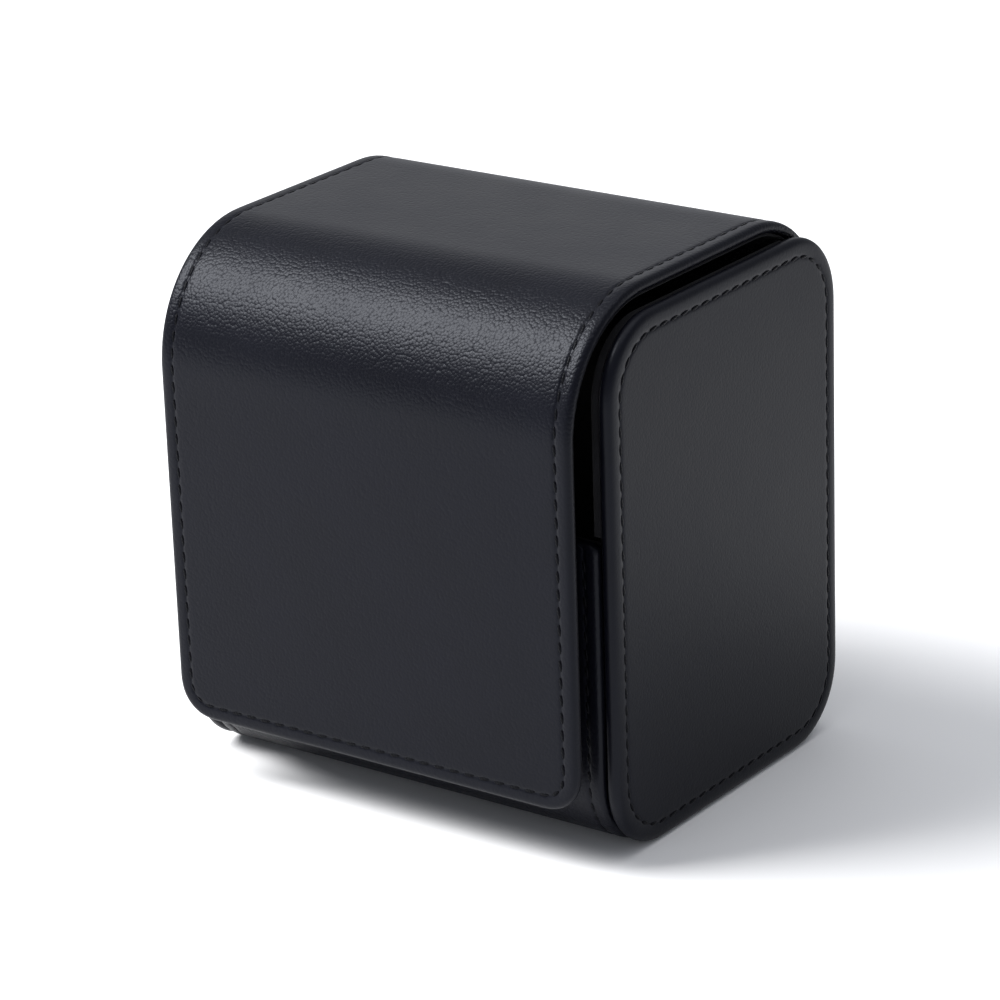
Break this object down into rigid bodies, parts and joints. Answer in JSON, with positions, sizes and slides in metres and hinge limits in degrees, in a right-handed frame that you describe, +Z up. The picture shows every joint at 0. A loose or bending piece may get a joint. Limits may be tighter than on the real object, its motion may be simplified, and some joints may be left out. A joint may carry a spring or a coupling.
{
  "type": "card deck box",
  "caption": "Upright leather-covered box for a deck of sleeved cards, with two stitched end panels and a hinged lid whose front flap closes on magnets.",
  "frame": {"origin": "bottom centre of the closed box's bounding box, on the surface it stands on", "axes": "+Z up, -Y towards the front flap, +X towards the right-hand end panel"},
  "size_m": [0.1036, 0.0886, 0.1115],
  "materials": {
    "leather": "satin black pebbled leatherette",
    "board": "dense grey bookbinder's board",
    "thread": "black waxed sewing thread",
    "lining": "soft black microfibre",
    "magnet": "nickel-plated magnet"
  },
  "bodies": {
    "body": {"left_side_leather": "leather", "right_side_leather": "leather", "left_side_board": "board", "right_side_board": "board", "left_side_thread": "thread", "right_side_thread": "thread", "left_inner_wall": "lining", "right_inner_wall": "lining", "wrap_leather": "leather", "wrap_thread": "thread", "front_board": "board", "bottom_board": "board", "back_board": "board", "well_lining": "lining", "body_magnets": "magnet"},
    "lid_top": {"lid_top_leather": "leather", "lid_top_board": "board", "lid_top_lining": "lining", "lid_top_thread": "thread"},
    "lid_front": {"flap_leather": "leather", "flap_board": "board", "flap_lining": "lining", "flap_pad": "lining", "flap_magnets": "magnet", "flap_thread": "thread"}
  },
  "joints": [
    {"name": "lid_hinge", "type": "hinge", "parent": "body", "child": "lid_top", "pos_m": [0, 0.04475, 0.0885], "axis": [-1, 0, 0], "range_deg": [0, 175]},
    {"name": "flap_fold", "type": "hinge", "parent": "lid_top", "child": "lid_front", "pos_m": [0, -0.03865, 0.1059], "axis": [-1, 0, 0], "range_deg": [0, 80]}
  ]
}
